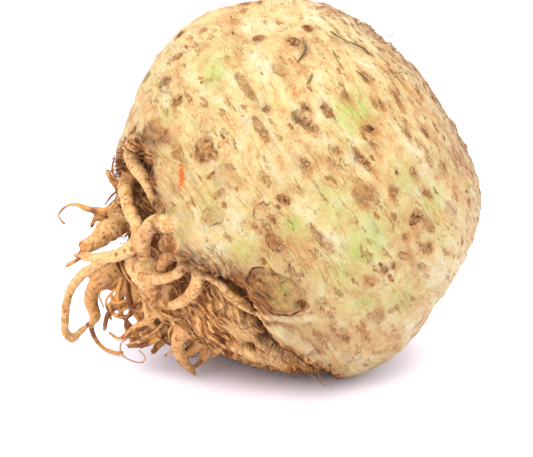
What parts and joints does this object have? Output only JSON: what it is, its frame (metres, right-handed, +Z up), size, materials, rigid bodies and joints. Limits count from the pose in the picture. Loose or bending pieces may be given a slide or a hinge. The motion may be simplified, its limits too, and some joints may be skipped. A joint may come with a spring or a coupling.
{
  "type": "root vegetable",
  "caption": "Fresh celeriac lying on its side, with a scarred cream and pale green bulb and a tuft of short, twisting trimmed roots",
  "frame": {"origin": "middle of the small flat spot that the bulb rests on", "axes": "+X from the root tuft towards the crown side, along the longest extent; +Y away from the side on which the tuft shows best; +Z up, out of the surface it rests on"},
  "size_m": [0.1467, 0.1275, 0.125],
  "materials": {
    "skin": null
  },
  "bodies": {
    "root": {"celeriac": "skin"}
  },
  "joints": []
}
